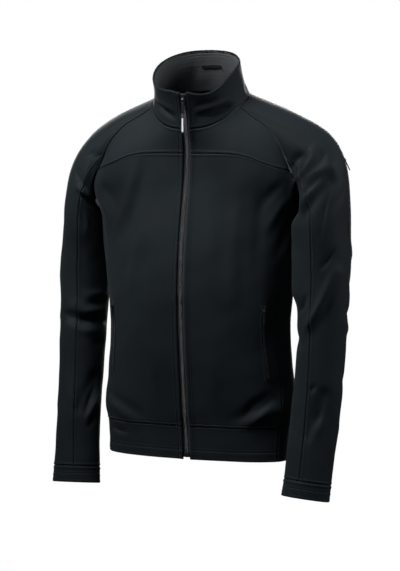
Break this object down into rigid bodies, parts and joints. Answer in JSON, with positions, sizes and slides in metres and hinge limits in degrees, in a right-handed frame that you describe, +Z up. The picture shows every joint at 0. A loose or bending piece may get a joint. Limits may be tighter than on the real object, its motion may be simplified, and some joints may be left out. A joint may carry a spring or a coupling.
{
  "type": "softshell jacket",
  "caption": "Hip-length zip-front softshell jacket with raglan sleeves, stand collar, hem band and zipped pockets, filled out as worn.",
  "frame": {"origin": "middle of the neck at the height where the shoulders meet the collar, where the wearer holds the jacket up", "axes": "+Z up along the body, +X to the wearer's left, the front faces -Y"},
  "size_m": [0.6194, 0.227, 0.8755],
  "materials": {
    "shell_cloth": "near-black bonded softshell with a fine matt weave",
    "inner_cloth": "near-black brushed inner face",
    "zip_tape": "woven dark grey tape with a coil",
    "dark_metal": "gunmetal, semi-gloss",
    "pull_strip": "light grey moulded strip, plain"
  },
  "bodies": {
    "root": {"back": "shell_cloth", "collar_inner": "inner_cloth", "collar_outer": "shell_cloth", "cuff_left": "shell_cloth", "cuff_right": "shell_cloth", "front_left": "shell_cloth", "front_right": "shell_cloth", "hanger_loop": "inner_cloth", "hem_back": "shell_cloth", "hem_front_left": "shell_cloth", "hem_front_right": "shell_cloth", "pocket_left_slider": "dark_metal", "pocket_right_slider": "dark_metal", "pocket_zip_left": "zip_tape", "pocket_zip_right": "zip_tape", "sleeve_inner_left": "shell_cloth", "sleeve_inner_right": "shell_cloth", "sleeve_outer_left": "shell_cloth", "sleeve_outer_right": "shell_cloth", "sleeve_pocket_slider": "dark_metal", "sleeve_pocket_zip": "zip_tape", "yoke_left": "shell_cloth", "yoke_right": "shell_cloth", "zip_box": "dark_metal", "zip_slider": "dark_metal", "zip_tape_left": "zip_tape", "zip_tape_right": "zip_tape"},
    "main_pull": {"zip_pull": "dark_metal", "zip_pull_strip": "pull_strip"},
    "left_pocket_pull": {"pocket_left_pull": "dark_metal"},
    "right_pocket_pull": {"pocket_right_pull": "dark_metal"},
    "arm_pocket_pull": {"sleeve_pocket_pull": "dark_metal"}
  },
  "joints": [
    {"name": "main_pull_swing", "type": "hinge", "parent": "root", "child": "main_pull", "pos_m": [0, -0.09411, -0.00168], "axis": [-1, 0, 0], "range_deg": [0, 140]},
    {"name": "left_pocket_pull_swing", "type": "hinge", "parent": "root", "child": "left_pocket_pull", "pos_m": [0.16095, -0.07208, -0.41128], "axis": [-0.7735, -0.6337, 0], "range_deg": [0, 140]},
    {"name": "right_pocket_pull_swing", "type": "hinge", "parent": "root", "child": "right_pocket_pull", "pos_m": [-0.16095, -0.07208, -0.41128], "axis": [-0.7735, 0.6337, 0], "range_deg": [0, 140]},
    {"name": "arm_pocket_pull_swing", "type": "hinge", "parent": "root", "child": "arm_pocket_pull", "pos_m": [0.3002, 0.00057, -0.11695], "axis": [-0.037, -0.9963, 0.0782], "range_deg": [0, 140]}
  ]
}
